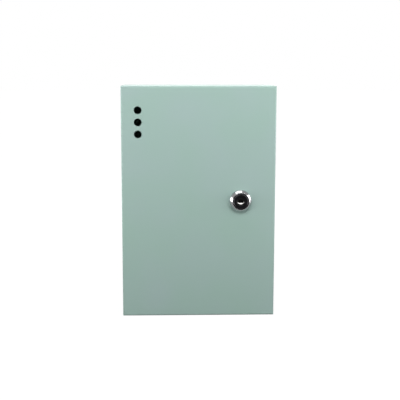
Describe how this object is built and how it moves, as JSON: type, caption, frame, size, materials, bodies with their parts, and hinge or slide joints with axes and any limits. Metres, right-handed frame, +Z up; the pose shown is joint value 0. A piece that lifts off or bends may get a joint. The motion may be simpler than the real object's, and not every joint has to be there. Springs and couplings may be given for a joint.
{
  "type": "metal enclosure",
  "caption": "Wall-mounted sheet-steel enclosure with a side-hinged door, a key cam lock and a column of indicator holes.",
  "frame": {"origin": "middle of the back panel's outer face, on the wall", "axes": "+Z up, -Y out of the door's front, +X to the lock side seen from the front"},
  "size_m": [0.152, 0.065, 0.23],
  "materials": {
    "sage_paint": "powder-coated steel sheet, semi-matt grey-green",
    "chrome": "bright chrome on a zinc casting",
    "black_cap": "moulded black plastic",
    "nickel": "nickel-plated zinc casting",
    "zinc_steel": "bright zinc-plated steel"
  },
  "bodies": {
    "box": {"back_box": "sage_paint", "hinge_leaf_box": "sage_paint", "hinge_pin": "zinc_steel", "board_pillars": "zinc_steel", "box_earth_stud": "zinc_steel", "box_earth_star_washer": "zinc_steel", "box_earth_nut": "zinc_steel"},
    "door": {"door": "sage_paint", "hinge_leaf_door": "sage_paint", "lock_housing": "chrome", "lock_star_washer": "zinc_steel", "lock_nut": "zinc_steel", "door_earth_stud": "zinc_steel", "door_earth_star_washer": "zinc_steel", "door_earth_nut": "zinc_steel"},
    "lock_core": {"lock_plug": "nickel", "lock_cap": "black_cap", "lock_stop_washer": "zinc_steel", "lock_cam": "zinc_steel", "cam_washer": "zinc_steel", "cam_screw": "zinc_steel"}
  },
  "joints": [
    {"name": "door_hinge", "type": "hinge", "parent": "box", "child": "door", "pos_m": [-0.07425, -0.0445, 0], "axis": [0, 0, -1], "range_deg": [0, 110]},
    {"name": "lock_turn", "type": "hinge", "parent": "door", "child": "lock_core", "pos_m": [0.0416, -0.05, 0.002], "axis": [0, -1, 0], "range_deg": [0, 90]}
  ]
}
